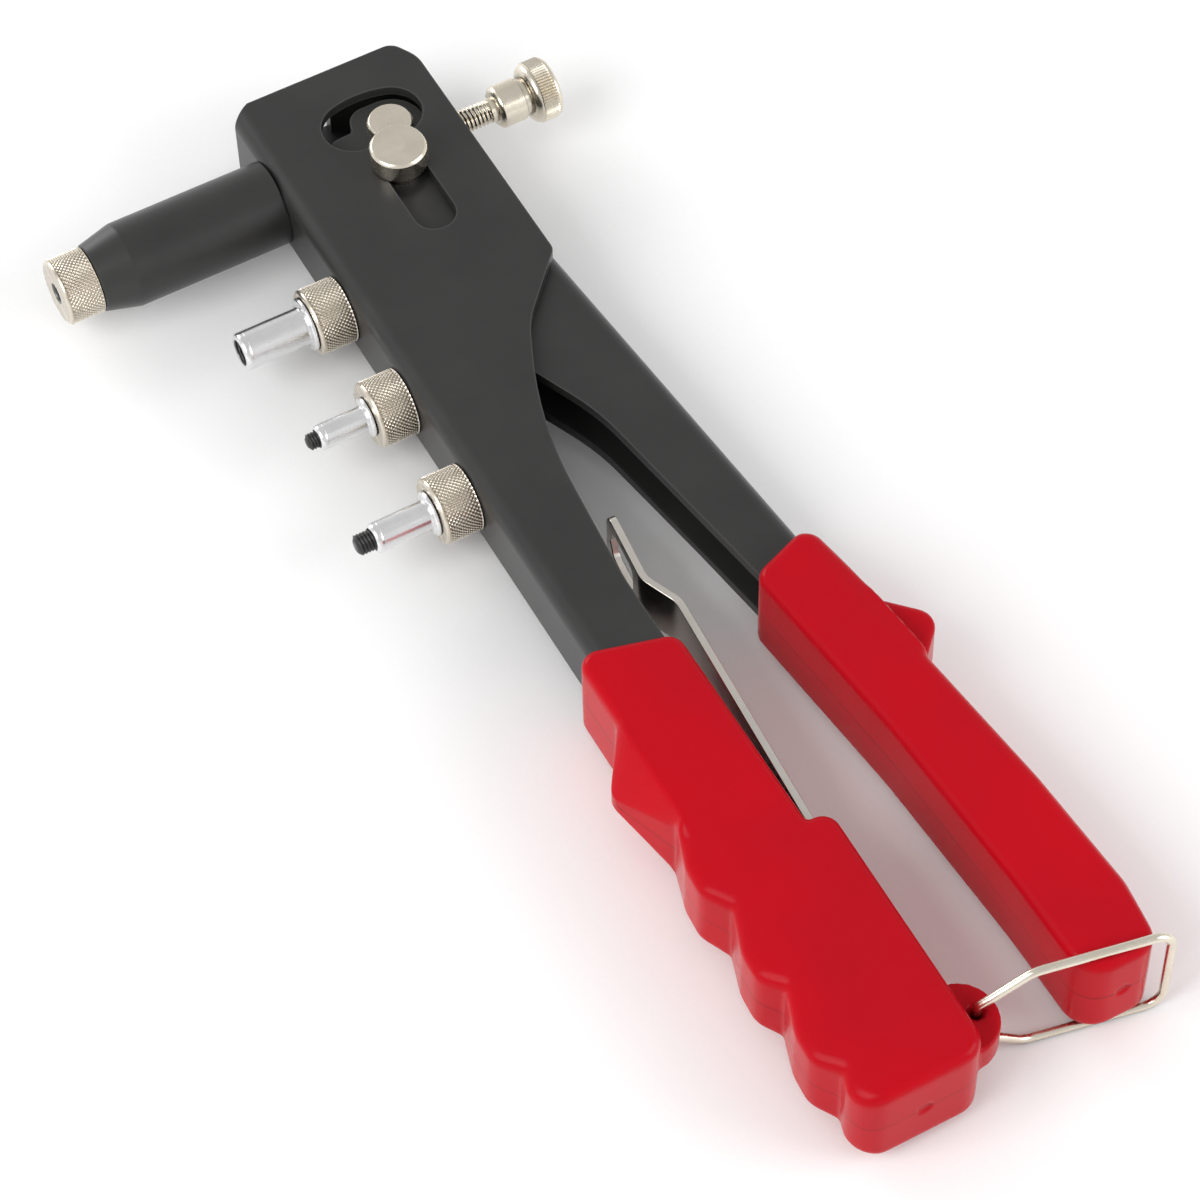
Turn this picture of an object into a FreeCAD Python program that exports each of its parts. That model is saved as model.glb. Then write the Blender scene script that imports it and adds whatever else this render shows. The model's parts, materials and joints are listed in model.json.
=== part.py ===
import FreeCAD, Part
import math
import os

from FreeCAD import Placement, Rotation, Vector

# A threaded-nut hand riveter lying on its side, handles closed and latched by the wire bail.
# Working axes of the drawing: X runs backwards along the nose axis, Y runs from the grips up to
# the head, Z is the pin direction. Drawing zero is where the nose axis meets the front face of
# the body web. Every finished part is then moved so that the origin of the part's frame is the
# middle of the box around the tool, on the surface it lies on.

DIMENSIONS = {
    # pressed steel body
    "channel_width": 21.2, "sheet": 2.5, "fold_radius": 3.9, "fold_inner_radius": 1.4,
    "head_top": 21.4, "head_depth": 46.0, "head_bottom": -50.5, "handle_depth": 15.8,
    "handle_end": -262.0,
    "bridge_front": 24.0, "bridge_bottom": 9.5,
    # lever
    "lever_width": 15.6, "web_top": -24.0, "lever_end": -250.0,
    # pins
    "pivot_x": 27.5, "pivot_y": -11.7, "pivot_radius": 4.9, "pivot_hole_radius": 4.95,
    "pivot_head_radius": 6.7, "pivot_head_height": 5.75, "pivot_tail_radius": 3.4,
    "ring_radius": 6.6, "ring_thickness": 1.6, "pull_arm": 13.3, "pull_angle": 17.5,
    "pull_radius": 5.4, "pull_top": 10.0, "pull_nose_radius": 4.0, "pull_nose_inner": 3.7,
    # windows in the cheeks
    "window_radius": 15.2, "window_half_width": 7.6, "slot_half_width": 5.0, "slot_bottom": -29.2,
    # nose
    "tube_radius": 10.15, "tube_length": 38.1, "cone_length": 8.2, "cone_front_radius": 8.1,
    "spigot_radius": 7.0, "spigot_length": 6.0, "tube_bore_radius": 5.6,
    "nosepiece_radius": 8.0, "nosepiece_length": 8.9, "nosepiece_shank_radius": 5.95,
    "nosepiece_shank_length": 6.3, "mandrel_bore_radius": 2.48,
    # spares screwed into the web
    "spare_length": 9.1, "spare_shank_length": 5.5, "spare_hole_radius": 5.95,
    "spare_y_six": -36.1, "spare_y_four": -66.4, "spare_y_five": -96.9,
    # pull carriage
    "block_front": 26.0, "block_length": 11.0, "block_half_depth": 4.95, "block_bottom": -6.0,
    "block_top": 7.4, "rod_radius": 3.0, "rod_bore_radius": 3.06, "rod_front": -20.0,
    "rod_rear": 62.5, "hub_front": 57.9, "sleeve_radius": 5.3, "sleeve_front": -31.0, "sleeve_length": 14.0,
    "mandrel_radius": 2.4, "mandrel_tip": -52.2, "washer_radius": 4.9, "washer_length": 2.2,
    "lock_nut_radius": 4.8, "lock_nut_length": 4.0, "hub_radius": 5.2, "hub_length": 6.6,
    "knob_neck_radius": 4.4, "knob_neck_length": 1.5, "knob_radius": 7.5, "knob_length": 7.2,
    # grips, bail and spanner
    "grip_thickness": 25.0, "grip_edge_radius": 2.4, "ear_x": 24.0, "ear_y": -263.6,
    "ear_radius": 8.6, "ear_thickness": 8.0, "bail_x": 28.1, "bail_y": -263.8,
    "bail_hole_radius": 1.08, "bail_sink_radius": 2.0, "bail_sink_depth": 1.2,
    "wire_radius": 1.0, "bail_reach": 41.6, "bail_leg_height": 13.8, "bail_neck_height": 5.6,
    "bail_neck_reach": 11.5, "bail_angle": -11.8,
    "spanner_thickness": 1.8, "spanner_width": 14.8,
    # the box around the tool, in drawing axes
    "box_front": -55.2, "box_rear": 73.2, "box_end": -275.8, "lying_height": 14.8,
}

RIVET_NUTS = {
    # size: spare place, thread radius, shank radius, flange radius, nut end, mandrel tip
    "m6": ("spare_y_six", 3.0, 4.5, 6.4, -26.2, -22.5),
    "m4": ("spare_y_four", 2.0, 3.0, 4.7, -21.9, -24.5),
    "m5": ("spare_y_five", 2.5, 3.5, 5.3, -23.8, -27.8),
}

FLANGE_THICKNESS = 1.1
X_TURN = Rotation(Vector(0, 1, 0), 90)

doc = FreeCAD.newDocument("hand_riveter")
dims = doc.addObject("Spreadsheet::Sheet", "dims")
for row, (alias, value) in enumerate(DIMENSIONS.items(), start=1):
    dims.set("A%d" % row, alias)
    dims.set("B%d" % row, str(value))
    dims.setAlias("B%d" % row, alias)
doc.recompute()


def size(alias):
    """A driving dimension, read from the sheet."""
    return float(dims.get(alias))


NODES = []
HOME = Vector(-(size("box_front") + size("box_rear")) / 2,
              -(size("head_top") + size("box_end")) / 2, size("lying_height"))


def finish(shape, label):
    """Names a finished sub-part and moves it from drawing axes to the part's frame."""
    shape.Label = label
    shape.Placement = Placement(HOME, Rotation())
    NODES.append(shape)


def bind(thing, **expressions):
    for name, expression in expressions.items():
        thing.setExpression(name.replace("__", "."), expression)


# ---------------------------------------------------------------- sketches and pads

def rounded_loop(corners):
    """Lines and tangent arcs of a closed outline. Each corner is (x, y, radius)."""
    firsts, lasts, pieces = [], [], []
    for index, (x, y, radius) in enumerate(corners):
        here = Vector(x, y, 0)
        following = corners[(index + 1) % len(corners)]
        back = (Vector(corners[index - 1][0], corners[index - 1][1], 0) - here).normalize()
        ahead = (Vector(following[0], following[1], 0) - here).normalize()
        half = back.getAngle(ahead) / 2
        reach = radius / math.tan(half)
        firsts.append(here + back * reach)
        lasts.append(here + ahead * reach)
        if radius > 0:
            middle = here + (back + ahead).normalize() * (radius / math.sin(half) - radius)
            pieces.append(Part.Arc(firsts[-1], middle, lasts[-1]))
    for index, last in enumerate(lasts):
        following = firsts[(index + 1) % len(firsts)]
        if (following - last).Length > 1e-5:
            pieces.append(Part.LineSegment(last, following))
    return pieces


def arc_slot(centre_x, centre_y, radius, half_width, from_degrees, to_degrees):
    """A slot bent round a centre, with round ends. Degrees are clockwise from +Y."""
    def place(distance, degrees):
        turn = math.radians(degrees)
        return Vector(centre_x + distance * math.sin(turn), centre_y + distance * math.cos(turn), 0)

    middle = (from_degrees + to_degrees) / 2
    pieces = []
    for distance in (radius - half_width, radius + half_width):
        pieces.append(Part.Arc(place(distance, from_degrees), place(distance, middle),
                               place(distance, to_degrees)))
    for degrees, side in ((from_degrees, -1), (to_degrees, 1)):
        turn = math.radians(degrees)
        tip = place(radius, degrees) + Vector(math.cos(turn), -math.sin(turn), 0) * half_width * side
        pieces.append(Part.Arc(place(radius - half_width, degrees), tip,
                               place(radius + half_width, degrees)))
    return pieces


def new_body(name):
    return doc.addObject("PartDesign::Body", name)


def add_sketch(body, name, pieces, plane="XY_Plane"):
    sketch = body.newObject("Sketcher::SketchObject", name)
    support = [item for item in body.Origin.OriginFeatures if item.Role == plane][0]
    sketch.AttachmentSupport = (support, [""])
    sketch.MapMode = "FlatFace"
    sketch.addGeometry(pieces, False)
    return sketch


def add_pad(body, name, pieces, thickness):
    """A pad to both sides of the drawing plane."""
    pad = body.newObject("PartDesign::Pad", name)
    pad.Profile = add_sketch(body, name + "_outline", pieces)
    pad.SideType = "Symmetric"
    bind(pad, Length=thickness)
    doc.recompute()
    return pad


def add_pocket(body, name, pieces, depth, plane="XY_Plane"):
    """A pocket to both sides of the drawing plane, checked by volume."""
    before = body.Shape.Volume
    pocket = body.newObject("PartDesign::Pocket", name)
    pocket.Profile = add_sketch(body, name + "_outline", pieces, plane)
    pocket.Type = "Length"
    pocket.SideType = "Symmetric"
    bind(pocket, Length=depth)
    doc.recompute()
    if body.Shape.Volume > before - 0.01:
        raise RuntimeError(name + " cuts nothing")
    return pocket


def add_edge_feature(body, kind, name, chosen, **expressions):
    """A fillet or chamfer on the edges of the body's tip that chosen(edge) accepts."""
    base = body.Tip
    edges = ["Edge%d" % number for number, edge in enumerate(base.Shape.Edges, start=1)
             if chosen(edge)]
    if not edges:
        raise RuntimeError(name + " finds no edges")
    feature = body.newObject("PartDesign::" + kind, name)
    feature.Base = (base, edges)
    bind(feature, **expressions)
    doc.recompute()
    return feature


def on_points(edge, accepts):
    return all(accepts(vertex.Point) for vertex in edge.Vertexes)


def circle(x, y, radius):
    return [Part.Circle(Vector(x, y, 0), Vector(0, 0, 1), radius)]


# ---------------------------------------------------------------- turned parts

def cylinder(name, start, length, radius, y="0", z="0", along_x=True):
    """A cylinder along +X (or +Z) whose start, length and radius are expressions."""
    piece = doc.addObject("Part::Cylinder", name)
    piece.Placement = Placement(Vector(), X_TURN if along_x else Rotation())
    bind(piece, Height=length, Radius=radius, Placement__Base__y=y)
    if along_x:
        bind(piece, Placement__Base__x=start, Placement__Base__z=z)
    else:
        bind(piece, Placement__Base__z=start, Placement__Base__x=z)
    return piece


def cone(name, start, length, first_radius, last_radius, y="0"):
    piece = doc.addObject("Part::Cone", name)
    piece.Placement = Placement(Vector(), X_TURN)
    bind(piece, Height=length, Radius1=first_radius, Radius2=last_radius,
         Placement__Base__x=start, Placement__Base__y=y)
    return piece


def fuse(name, pieces):
    result = doc.addObject("Part::MultiFuse", name)
    result.Shapes = pieces
    return result


def cut(name, base, tool):
    result = doc.addObject("Part::Cut", name)
    result.Base = base
    result.Tool = tool
    return result


# ---------------------------------------------------------------- outlines

def body_outline():
    """Side view of the pressed body: deep head, then a handle narrowing on the open side."""
    top, depth, bottom = size("head_top"), size("head_depth"), size("head_bottom")
    handle, end = size("handle_depth"), size("handle_end")
    return rounded_loop([
        (0, end, 0), (0, top - 2.6, 0), (4.6, top, 0), (depth - 3.6, top, 4),
        (depth, top - 6.5, 9), (depth, bottom - 1.5, 3), (31.6, bottom - 17.0, 26),
        (19.8, bottom - 43.0, 110), (handle, bottom - 88.0, 160), (handle, end, 0)])


def lever_outline():
    """Side view of the lever: a rounded head on both pins, then a long tapering handle."""
    pull = pull_pin_place()
    end, web_top = size("lever_end"), size("web_top")
    return rounded_loop([
        (web_line(end), end, 0), (web_line(web_top), web_top, 0), (pull.x + 8.2, pull.y, 0),
        (pull.x + 8.2, pull.y + 8.2, 8), (pull.x - 7.4, pull.y + 8.2, 4.5),
        (pull.x - 8.4, 3.5, 1.5), (16.2, 3.3, 3), (16.0, -12, 14), (19.2, -40, 60), (23.0, -71.0, 60), (33.4, -95.0, 60),
        (39.2, -130.0, 100), (42.6, -153.0, 60), (48.6, -200.0, 100), (51.0, end, 0)])


def web_line(y):
    """Outer face of the lever's web, which leans away from the body towards the grip end."""
    return 46.6 - (y + 48.0) * 0.0926


def pull_pin_place():
    turn = math.radians(size("pull_angle"))
    return Vector(size("pivot_x") + size("pull_arm") * math.sin(turn),
                  size("pivot_y") + size("pull_arm") * math.cos(turn), 0)


def fixed_grip_outline():
    """Guard, three finger swells and a stepped back edge."""
    end = size("box_end")
    corners = [(18.6, -158.0, 4), (18.9, -211.6, 0.6), (24.4, -211.6, 4), (24.0, end, 6),
               (-8.0, end, 6), (-4.5, -265.3, 1)]
    for notch in (-265.3, -243.9, -220.7):
        corners += [(-8.4, notch + 5.5, 6), (-8.0, notch + 12.5, 8), (-4.8, notch + 22.0, 1)]
    corners += [(-11.0, -181.6, 4), (-3.7, -171.6, 3), (-3.7, -151.8, 4)]
    return rounded_loop(corners)


def lever_grip_outline():
    """Straight grip, a little deeper towards its end, with a bump on the outer side."""
    return rounded_loop([
        (40.1, -153.0, 4), (45.4, -201.0, 150), (48.1, -245.0, 60), (48.6, -272.2, 7),
        (66.2, -272.2, 5.5), (68.2, -256.0, 14), (66.3, -226.0, 80), (61.9, -188.0, 3),
        (71.4, -178.2, 4.5), (60.6, -167.0, 5), (57.1, -146.6, 4)])


def filled_channel(name, pieces, alias, on_web):
    """A pressed channel before it is hollowed: its outline with the two folds rounded.

    A copy of it hollows the grip that sits on the channel.
    """
    body = new_body(name)
    add_pad(body, name + "_pad", pieces, "dims." + alias)
    half = size(alias) / 2
    add_edge_feature(body, "Fillet", name + "_fold", lambda edge: edge.Length > 100 and on_points(
        edge, lambda point: on_web(point) and abs(abs(point.z) - half) < 0.01),
        Radius="dims.fold_radius")
    return body


def filled_frame(name):
    return filled_channel(name, body_outline(), "channel_width", lambda point: abs(point.x) < 0.01)


def filled_lever(name):
    return filled_channel(name, lever_outline(), "lever_width",
                          lambda point: abs(point.x - web_line(point.y)) < 0.01)


# ---------------------------------------------------------------- body frame

def make_body_frame():
    body = filled_frame("frame_body")
    sheet, half = size("sheet"), size("channel_width") / 2
    inside = [(sheet, 60, 0), (sheet, -300, 0), (80, -300, 0), (80, 60, 0)]
    add_pocket(body, "frame_inside", rounded_loop(inside), "dims.channel_width - 2 * dims.sheet")
    add_edge_feature(body, "Fillet", "frame_inner_fold", lambda edge: edge.Length > 100 and on_points(
        edge, lambda point: abs(point.x - sheet) < 0.01 and abs(abs(point.z) - half + sheet) < 0.01),
        Radius="dims.fold_inner_radius")
    window = arc_slot(size("pivot_x"), size("pivot_y"), size("window_radius"),
                      size("window_half_width"), -16.5, 19.0)
    add_pocket(body, "pull_window", window, "dims.channel_width + 10")
    slot_half = size("slot_half_width")
    slot = [(size("pivot_x") - slot_half, size("slot_bottom") - slot_half, slot_half - 0.01),
            (size("pivot_x") + slot_half, size("slot_bottom") - slot_half, slot_half - 0.01),
            (size("pivot_x") + slot_half, size("pivot_y") + slot_half, slot_half - 0.01),
            (size("pivot_x") - slot_half, size("pivot_y") + slot_half, slot_half - 0.01)]
    add_pocket(body, "pivot_slot", rounded_loop(slot), "dims.channel_width + 10")
    add_pocket(body, "nose_hole", circle(0, 0, size("spigot_radius")), "3 * dims.channel_width",
               "YZ_Plane")
    top, front, rear = size("head_top"), size("bridge_front"), size("head_depth")
    tail = size("bridge_bottom")
    bridge = [(front, top - sheet, 0), (rear - 5.8, top - sheet, 0), (rear - 4.6, top - 3.3, 0),
              (rear - 3.1, top - 6.1, 0), (rear - sheet, top - 8.9, 0), (rear - sheet, tail, 0),
              (rear - 0.1, tail, 0), (rear - 0.1, top - 8.8, 0), (rear - 1.2, top - 4.5, 0),
              (rear - 2.5, top - 2.1, 0), (rear - 4.0, top - 0.6, 0), (rear - 6.0, top, 0),
              (front, top, 0)]
    add_pad(body, "top_bridge", rounded_loop(bridge), "dims.channel_width - 2 * dims.sheet + 1")
    for place, *_ in RIVET_NUTS.values():
        add_pocket(body, "hole_" + place, circle(size(place), 0, size("spare_hole_radius")),
                   "dims.handle_depth", "YZ_Plane")
    finish(body, "body_frame")


# ---------------------------------------------------------------- nose

def make_nose():
    wall = cone("tube_cone", "-dims.tube_length - dims.cone_length", "dims.cone_length",
                "dims.cone_front_radius", "dims.tube_radius")
    barrel = cylinder("tube_barrel", "-dims.tube_length", "dims.tube_length", "dims.tube_radius")
    spigot = cylinder("tube_spigot", "0", "dims.spigot_length", "dims.spigot_radius")
    bore = cylinder("tube_bore", "-60", "80", "dims.tube_bore_radius")
    thread = cylinder("tube_thread", "-dims.tube_length - dims.cone_length - 1",
                      "dims.nosepiece_shank_length + 1", "dims.nosepiece_shank_radius")
    finish(cut("nose_tube_cut", fuse("nose_tube_solid", [wall, barrel, spigot]),
               fuse("nose_tube_hollow", [bore, thread])), "nose_tube")
    face = "-dims.tube_length - dims.cone_length"
    head = cylinder("nosepiece_head", face + " - dims.nosepiece_length", "dims.nosepiece_length",
                    "dims.nosepiece_radius")
    shank = cylinder("nosepiece_shank", face, "dims.nosepiece_shank_length",
                     "dims.nosepiece_shank_radius")
    hole = cylinder("nosepiece_hole", "-60", "30", "dims.mandrel_bore_radius")
    finish(cut("nosepiece_cut", fuse("nosepiece_solid", [head, shank]), hole), "nosepiece")


def make_spares():
    for name, (place, thread, shank, flange, nut_end, tip) in RIVET_NUTS.items():
        y = "dims." + place
        head = cylinder("head_" + name, "-dims.spare_length", "dims.spare_length",
                        "dims.nosepiece_radius", y)
        stub = cylinder("stub_" + name, "0", "dims.spare_shank_length", "dims.spare_hole_radius", y)
        hole = cylinder("spare_bore_" + name, "-20", "40", str(thread), y)
        finish(cut("spare_cut_" + name, fuse("spare_solid_" + name, [head, stub]), hole),
               "spare_nosepiece_" + name)
        rod = cylinder("mandrel_rod_" + name, str(tip), "%s + dims.spare_shank_length" % -tip,
                       str(thread), y)
        collar = cylinder("mandrel_collar_" + name, "dims.spare_shank_length", "2.5",
                          str(thread + 1.2), y)
        finish(fuse("mandrel_" + name, [rod, collar]), "spare_mandrel_" + name)
        flange_piece = cylinder("flange_" + name, "-dims.spare_length - %s" % FLANGE_THICKNESS,
                                str(FLANGE_THICKNESS), str(flange), y)
        nose = cone("nut_nose_" + name, str(nut_end), "0.8", str(shank - 0.7), str(shank), y)
        length = -size("spare_length") - FLANGE_THICKNESS - nut_end - 0.8
        sleeve = cylinder("nut_sleeve_" + name, str(nut_end + 0.8), "%.4f" % length, str(shank), y)
        inside = cylinder("nut_inside_" + name, "-40", "40", str(thread), y)
        finish(cut("nut_cut_" + name, fuse("nut_solid_" + name, [flange_piece, nose, sleeve]),
                   inside), "rivet_nut_" + name)


# ---------------------------------------------------------------- pins

def make_pivot_pin():
    x, y = "dims.pivot_x", "dims.pivot_y"
    half = "dims.channel_width / 2"
    head = cylinder("pivot_head", half, "dims.pivot_head_height", "dims.pivot_head_radius", y, x,
                    False)
    shank = cylinder("pivot_shank", "-(%s)" % half, "dims.channel_width", "dims.pivot_radius", y, x,
                     False)
    tail = cylinder("pivot_tail", "-dims.lying_height", "dims.lying_height - (%s)" % half,
                    "dims.pivot_tail_radius", y, x, False)
    finish(fuse("pivot_pin_solid", [head, shank, tail]), "pivot_pin")
    disc = cylinder("ring_disc", "-(%s) - dims.ring_thickness" % half, "dims.ring_thickness",
                    "dims.ring_radius", y, x, False)
    eye = cylinder("ring_eye", "-30", "60", "dims.pivot_tail_radius", y, x, False)
    finish(cut("ring_cut", disc, eye), "pivot_retaining_ring")


def make_pull_pins():
    place = pull_pin_place()
    x, y = "%.4f" % place.x, "%.4f" % place.y
    shoulder = "dims.lever_width / 2 - dims.sheet"
    upper = cylinder("pull_outer", shoulder, "dims.pull_top - (%s)" % shoulder, "dims.pull_radius",
                     y, x, False)
    upper_nose = cylinder("pull_nose", "dims.pull_nose_inner", "(%s) - dims.pull_nose_inner" % shoulder,
                          "dims.pull_nose_radius", y, x, False)
    lower = cylinder("pull_outer_low", "-dims.pull_top", "dims.pull_top - (%s)" % shoulder,
                     "dims.pull_radius", y, x, False)
    lower_nose = cylinder("pull_nose_low", "-(%s)" % shoulder, "(%s) - dims.pull_nose_inner" % shoulder,
                          "dims.pull_nose_radius", y, x, False)
    finish(fuse("pull_pin_pair", [upper, upper_nose, lower, lower_nose]), "pull_pins")


# ---------------------------------------------------------------- pull carriage

def make_block():
    body = new_body("block_body")
    front, length = size("block_front"), size("block_length")
    low, high = size("block_bottom"), size("block_top")
    outline = [(front, low, 1), (front + length, low, 1), (front + length, high, 1), (front, high, 1)]
    add_pad(body, "block_pad", rounded_loop(outline), "2 * dims.block_half_depth")
    add_pocket(body, "block_bore", circle(0, 0, size("rod_bore_radius")), "160", "YZ_Plane")
    place = pull_pin_place()
    groove = doc.addObject("Part::Box", "groove_box")
    half = size("pull_nose_radius") + 0.12
    groove.Length, groove.Width = 2 * half, 40
    bind(groove, Height="dims.block_half_depth - dims.pull_nose_inner + 1.2")
    groove.Placement.Base = Vector(place.x - half, -20, size("pull_nose_inner") - 0.2)
    twin = doc.addObject("Part::Box", "groove_box_low")
    twin.Length, twin.Width = 2 * half, 40
    bind(twin, Height="dims.block_half_depth - dims.pull_nose_inner + 1.2")
    twin.Placement.Base = Vector(place.x - half, -20, -size("block_half_depth") - 1.0)
    finish(cut("block_cut", body, fuse("block_grooves", [groove, twin])), "draw_block")


def make_spindle():
    """Draw rod with its collars, mandrel holder, mandrel and rear knob, all on the nose axis."""
    block_rear = "dims.block_front + dims.block_length"
    rod = cylinder("rod_shank", "dims.rod_front + 1", "dims.rod_rear - dims.rod_front - 1",
                   "dims.rod_radius")
    rod_end = cone("rod_end", "dims.rod_front", "1", "dims.rod_radius - 0.7", "dims.rod_radius")
    finish(fuse("rod_solid", [rod, rod_end]), "draw_rod")
    washer = cylinder("washer_disc", "dims.block_front - 0.2 - dims.washer_length",
                      "dims.washer_length", "dims.washer_radius")
    washer_eye = cylinder("washer_eye", "0", "60", "dims.rod_radius")
    finish(cut("washer_cut", washer, washer_eye), "thrust_washer")
    nut = doc.addObject("Part::Prism", "lock_nut_prism")
    nut.Polygon = 6
    nut.Placement = Placement(Vector(), X_TURN)
    bind(nut, Circumradius="dims.lock_nut_radius", Height="dims.lock_nut_length",
         Placement__Base__x=block_rear + " + 0.2")
    nut_eye = cylinder("lock_nut_eye", "0", "60", "dims.rod_radius")
    finish(cut("lock_nut_cut", nut, nut_eye), "lock_nut")
    sleeve = cylinder("sleeve_solid", "dims.sleeve_front", "dims.sleeve_length", "dims.sleeve_radius")
    rod_seat = cylinder("sleeve_rod_seat", "dims.rod_front", "40", "dims.rod_radius")
    mandrel_seat = cylinder("sleeve_mandrel_seat", "dims.sleeve_front - 1", "9",
                            "dims.mandrel_radius")
    finish(cut("sleeve_cut", sleeve, fuse("sleeve_seats", [rod_seat, mandrel_seat])),
           "mandrel_holder")
    shank = cylinder("mandrel_shank", "dims.mandrel_tip + 0.8",
                     "dims.sleeve_front + 7.2 - dims.mandrel_tip", "dims.mandrel_radius")
    tip = cone("mandrel_point", "dims.mandrel_tip", "0.8", "dims.mandrel_radius - 0.6",
               "dims.mandrel_radius")
    finish(fuse("mandrel_solid", [shank, tip]), "mandrel")
    hub = cylinder("hub_barrel", "dims.hub_front + 0.8", "dims.hub_length - 0.8", "dims.hub_radius")
    hub_nose = cone("hub_nose", "dims.hub_front", "0.8", "dims.hub_radius - 0.8", "dims.hub_radius")
    hub_bore = cylinder("hub_bore", "0", "dims.rod_rear", "dims.rod_radius")
    finish(cut("hub_cut", fuse("hub_solid", [hub, hub_nose]), hub_bore), "knob_hub")
    neck_start = "dims.hub_front + dims.hub_length"
    neck = cylinder("knob_neck", neck_start, "dims.knob_neck_length", "dims.knob_neck_radius")
    rim = cylinder("knob_rim", neck_start + " + dims.knob_neck_length", "dims.knob_length",
                   "dims.knob_radius")
    finish(fuse("knob_solid", [neck, rim]), "knob")


# ---------------------------------------------------------------- lever

def make_lever():
    body = filled_lever("lever_body")
    sheet, end = size("sheet"), size("lever_end")
    web_top = size("web_top")
    inside = [(-20, 40, 0), (90, 40, 0), (90, web_top, 0), (web_line(web_top) - sheet, web_top, 0),
              (web_line(end - 20) - sheet, end - 20, 0), (-20, end - 20, 0)]
    add_pocket(body, "lever_inside", rounded_loop(inside), "dims.lever_width - 2 * dims.sheet")
    add_pocket(body, "lever_pivot_hole", circle(size("pivot_x"), size("pivot_y"),
                                                size("pivot_hole_radius")), "40")
    place = pull_pin_place()
    add_pocket(body, "lever_pull_hole", circle(place.x, place.y, size("pull_radius")), "40")
    finish(body, "lever_channel")


# ---------------------------------------------------------------- grips

def round_grip_edges(body, name):
    half = size("grip_thickness") / 2
    add_edge_feature(body, "Fillet", name, lambda edge: on_points(
        edge, lambda point: abs(abs(point.z) - half) < 0.01), Radius="dims.grip_edge_radius")


def make_fixed_grip():
    body = new_body("fixed_grip_body")
    add_pad(body, "fixed_grip_pad", fixed_grip_outline(), "dims.grip_thickness")
    round_grip_edges(body, "fixed_grip_round")
    ear = [(size("ear_x") - 8, size("ear_y") - 7, 0), (size("ear_x"), size("ear_y") - 8.6, 0),
           (size("ear_x") + 8.6, size("ear_y") - 8.6, 8.5), (size("ear_x") + 8.6, size("ear_y") + 8.6, 8.5),
           (size("ear_x"), size("ear_y") + 8.6, 0), (size("ear_x") - 8, size("ear_y") + 8.6, 0)]
    add_pad(body, "ear_pad", rounded_loop(ear), "dims.ear_thickness")
    add_pocket(body, "ear_hole", circle(size("bail_x"), size("bail_y"), size("bail_hole_radius")),
               "dims.ear_thickness + 2")
    sinks = []
    for index, start in enumerate(("dims.ear_thickness / 2 - dims.bail_sink_depth",
                                   "-dims.ear_thickness / 2 - 1")):
        sinks.append(cylinder("ear_sink_%d" % index, start, "dims.bail_sink_depth + 1",
                              "dims.bail_sink_radius", "dims.bail_y", "dims.bail_x", False))
    core = filled_frame("fixed_core")
    slot = new_body("spanner_slot")
    add_pad(slot, "spanner_slot_pad", spanner_slot_outline(), "dims.spanner_width + 0.3")
    finish(cut("fixed_grip_cut", body, fuse("fixed_grip_hollow", [core, slot] + sinks)),
           "fixed_grip")


def make_lever_grip():
    body = new_body("lever_grip_body")
    add_pad(body, "lever_grip_pad", lever_grip_outline(), "dims.grip_thickness")
    round_grip_edges(body, "lever_grip_round")
    core = filled_lever("lever_core")
    finish(cut("lever_grip_cut", body, core), "lever_grip")


# ---------------------------------------------------------------- bail and spanner

def bail_place(reach, height):
    """A place on the bail's flat path: reach from its hinge, height off the middle plane."""
    turn = math.radians(size("bail_angle"))
    return Vector(size("bail_x") + reach * math.cos(turn), size("bail_y") + reach * math.sin(turn),
                  height)


def make_bail():
    """One bent wire: both ends sit in the ear, the legs pass the grip, the far end is closed."""
    reach, neck = size("bail_reach"), size("bail_neck_reach")
    high, low = size("bail_leg_height"), size("bail_neck_height")
    bends = [(0, low, 2.2), (neck, high, 6), (reach, high, 4.4), (reach, -high, 4.4),
             (neck, -high, 6), (0, -low, 2.2)]
    points = [bail_place(0, 1.2)] + [bail_place(*bend[:2]) for bend in bends] + [bail_place(0, -1.2)]
    edges, last = [], points[0]
    for index, bend in enumerate(bends, start=1):
        back = (points[index - 1] - points[index]).normalize()
        ahead = (points[index + 1] - points[index]).normalize()
        half = back.getAngle(ahead) / 2
        radius = bend[2]
        first = points[index] + back * (radius / math.tan(half))
        middle = points[index] + (back + ahead).normalize() * (radius / math.sin(half) - radius)
        edges.append(Part.LineSegment(last, first).toShape())
        last = points[index] + ahead * (radius / math.tan(half))
        edges.append(Part.Arc(first, middle, last).toShape())
    edges.append(Part.LineSegment(last, points[-1]).toShape())
    profile = Part.Wire(Part.makeCircle(size("wire_radius"), points[0], Vector(0, 0, 1)))
    bail = doc.addObject("Part::Feature", "bail_wire")
    bail.Shape = Part.Wire(edges).makePipeShell([profile], True, True)
    finish(bail, "wire_bail")


SPANNER_LEAN = math.radians(3.35)


def spanner_front(y):
    """Front face of the spanner's straight shank."""
    return 23.5 + (y + 148.1) * math.tan(SPANNER_LEAN)


def spanner_slot_outline():
    gap, thick = 0.15, size("spanner_thickness")
    return rounded_loop([(spanner_front(-205) - gap, -205, 0), (spanner_front(-256) - gap, -256, 0),
                         (spanner_front(-256) + thick + gap, -256, 0),
                         (spanner_front(-205) + thick + gap, -205, 0)])


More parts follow.
